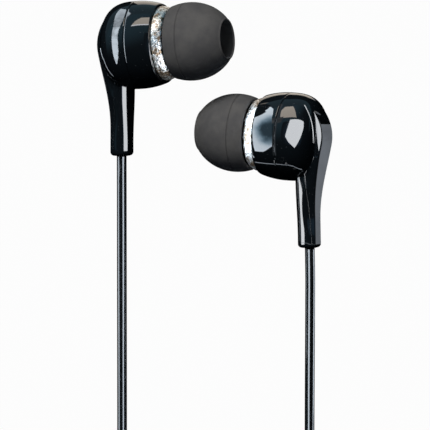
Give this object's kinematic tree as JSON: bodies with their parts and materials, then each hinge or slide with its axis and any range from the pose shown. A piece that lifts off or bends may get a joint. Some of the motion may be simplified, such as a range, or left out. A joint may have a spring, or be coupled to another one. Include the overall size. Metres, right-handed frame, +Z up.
{
  "type": "wired earphones",
  "caption": "Pair of black stemmed in-ear earpieces with silicone tips and metal trim rings on a thin Y cord, its length tied in hanks and a coil, ending in a small round plug.",
  "frame": {"origin": "on the surface that the set lies on, under the middle of the two earpieces", "axes": "+Z up from the surface, +Y away from the cord along the stems, +X from the right earpiece to the left one"},
  "size_m": [0.0383, 0.1816, 0.0172],
  "materials": {
    "shell": "piano gloss",
    "cover": "gloss",
    "ring_metal": "hammered, bright",
    "nozzle": "satin",
    "mesh": "woven",
    "tip_rubber": "matte silicone",
    "frame_plastic": "satin",
    "steel": "plated",
    "copper_wire": "enamelled copper",
    "film": "clear film",
    "board": "satin",
    "strain_rubber": "matte",
    "cord_rubber": "satin",
    "tie_plastic": "matte",
    "black_plastic": "satin",
    "contact_metal": "nickel",
    "insulator": "satin"
  },
  "bodies": {
    "set": {"right_front_shell": "shell", "right_rear_shell": "shell", "right_back_cover": "cover", "right_trim_ring": "ring_metal", "right_nozzle": "nozzle", "right_nozzle_mesh": "mesh", "right_driver_frame": "frame_plastic", "right_yoke": "steel", "right_magnet": "steel", "right_top_plate": "steel", "right_surround": "film", "right_driver_cover": "steel", "right_terminal_board": "board", "right_cable_clamp": "strain_rubber", "right_inner_lead": "copper_wire", "right_cord": "cord_rubber", "right_hank": "cord_rubber", "right_hank_tie": "tie_plastic", "right_lead": "cord_rubber", "left_front_shell": "shell", "left_rear_shell": "shell", "left_back_cover": "cover", "left_trim_ring": "ring_metal", "left_nozzle": "nozzle", "left_nozzle_mesh": "mesh", "left_driver_frame": "frame_plastic", "left_yoke": "steel", "left_magnet": "steel", "left_top_plate": "steel", "left_surround": "film", "left_driver_cover": "steel", "left_terminal_board": "board", "left_cable_clamp": "strain_rubber", "left_inner_lead": "copper_wire", "left_cord": "cord_rubber", "left_hank": "cord_rubber", "left_hank_tie": "tie_plastic", "left_lead": "cord_rubber", "splitter": "black_plastic", "main_lead_in": "cord_rubber", "main_coil": "cord_rubber", "main_coil_tie": "tie_plastic", "main_lead_out": "cord_rubber", "plug_relief": "strain_rubber", "plug_grip": "black_plastic", "plug_sleeve": "contact_metal", "plug_rear_insulator": "insulator", "plug_ring": "contact_metal", "plug_front_insulator": "insulator", "plug_tip": "contact_metal"},
    "right_tip": {"right_ear_tip": "tip_rubber"},
    "left_tip": {"left_ear_tip": "tip_rubber"},
    "right_cone": {"right_diaphragm": "film", "right_voice_coil": "copper_wire"},
    "left_cone": {"left_diaphragm": "film", "left_voice_coil": "copper_wire"}
  },
  "joints": [
    {"name": "right_tip_pull", "type": "slide", "parent": "set", "child": "right_tip", "axis": [0.9282, 0.0537, 0.3683], "range_m": [0, 0.008]},
    {"name": "right_cone_travel", "type": "slide", "parent": "set", "child": "right_cone", "axis": [0.9282, 0.0537, 0.3683], "range_m": [-0.0002, 0.0002], "stiffness_N_per_m": 200},
    {"name": "left_tip_pull", "type": "slide", "parent": "set", "child": "left_tip", "axis": [-0.9295, 0.0694, -0.3622], "range_m": [0, 0.008]},
    {"name": "left_cone_travel", "type": "slide", "parent": "set", "child": "left_cone", "axis": [-0.9295, 0.0694, -0.3622], "range_m": [-0.0002, 0.0002], "stiffness_N_per_m": 200}
  ]
}
